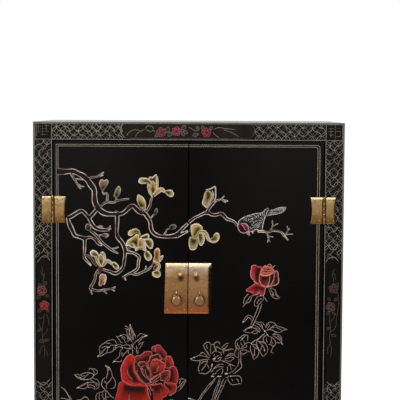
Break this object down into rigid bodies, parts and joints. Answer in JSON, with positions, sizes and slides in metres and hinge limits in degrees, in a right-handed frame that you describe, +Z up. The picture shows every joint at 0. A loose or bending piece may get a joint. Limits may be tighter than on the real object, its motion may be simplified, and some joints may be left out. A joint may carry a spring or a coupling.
{
  "type": "cabinet on stand",
  "caption": "Black lacquered cupboard with hinged front doors, inner shelves, brass hinges, lock plates and drop pulls, standing on a low frame with shaped aprons and hoof feet.",
  "frame": {"origin": "on the floor, under the middle of the overall box", "axes": "+Z up, +X to the right seen from the front, +Y to the back; the doors face -Y"},
  "size_m": [0.78, 0.4276, 1.22],
  "materials": {
    "black_lacquer": "glossy black lacquer with painted and gilt ornament",
    "inner_lacquer": "dull dark red-brown lacquer",
    "raw_wood": "thinly stained wood",
    "old_brass": "hand-worked brass with brown patina",
    "brass_nails": "domed brass nails, darkened",
    "steel_screws": "plain steel"
  },
  "bodies": {
    "case": {"back_panel": "raw_wood", "back_panel_screws": "steel_screws", "bottom_board": "inner_lacquer", "bottom_rail": "black_lacquer", "frame_hinge_nails": "brass_nails", "front_apron": "black_lacquer", "front_left_leg": "black_lacquer", "front_right_leg": "black_lacquer", "left_apron": "black_lacquer", "left_lower_hinge_frame_leaf": "old_brass", "left_lower_hinge_pin": "old_brass", "left_side": "black_lacquer", "left_stile": "black_lacquer", "left_upper_hinge_frame_leaf": "old_brass", "left_upper_hinge_pin": "old_brass", "lower_door_stop": "inner_lacquer", "lower_shelf": "inner_lacquer", "lower_shelf_cleats": "inner_lacquer", "rear_apron": "black_lacquer", "rear_left_leg": "black_lacquer", "rear_right_leg": "black_lacquer", "right_apron": "black_lacquer", "right_lower_hinge_frame_leaf": "old_brass", "right_lower_hinge_pin": "old_brass", "right_side": "black_lacquer", "right_stile": "black_lacquer", "right_upper_hinge_frame_leaf": "old_brass", "right_upper_hinge_pin": "old_brass", "stand_fixing_blocks": "old_brass", "stand_front_rail": "black_lacquer", "stand_left_rail": "black_lacquer", "stand_rear_rail": "black_lacquer", "stand_right_rail": "black_lacquer", "stand_screws": "steel_screws", "top_board": "black_lacquer", "top_rail": "black_lacquer", "upper_door_stop": "inner_lacquer", "upper_shelf": "inner_lacquer", "upper_shelf_cleats": "inner_lacquer"},
    "left_door": {"left_door": "black_lacquer", "left_door_hinge_nails": "brass_nails", "left_lock_lug": "old_brass", "left_lock_plate": "old_brass", "left_lock_plate_nails": "brass_nails", "left_lower_hinge_door_leaf": "old_brass", "left_pull_eye": "old_brass", "left_upper_hinge_door_leaf": "old_brass"},
    "right_door": {"right_door": "black_lacquer", "right_door_hinge_nails": "brass_nails", "right_lock_lug": "old_brass", "right_lock_plate": "old_brass", "right_lock_plate_nails": "brass_nails", "right_lower_hinge_door_leaf": "old_brass", "right_pull_eye": "old_brass", "right_upper_hinge_door_leaf": "old_brass"},
    "left_pull": {"left_drop_pull": "old_brass"},
    "right_pull": {"right_drop_pull": "old_brass"}
  },
  "joints": [
    {"name": "left_door_swing", "type": "hinge", "parent": "case", "child": "left_door", "pos_m": [-0.33175, -0.20035, 0.732], "axis": [0, 0, -1], "range_deg": [0, 175]},
    {"name": "left_pull_swing", "type": "hinge", "parent": "left_door", "child": "left_pull", "pos_m": [-0.02825, -0.20515, 0.803], "axis": [-1, 0, 0], "range_deg": [0, 170]},
    {"name": "right_door_swing", "type": "hinge", "parent": "case", "child": "right_door", "pos_m": [0.33175, -0.20035, 0.732], "axis": [0, 0, 1], "range_deg": [0, 175]},
    {"name": "right_pull_swing", "type": "hinge", "parent": "right_door", "child": "right_pull", "pos_m": [0.02825, -0.20515, 0.803], "axis": [-1, 0, 0], "range_deg": [0, 170]}
  ]
}
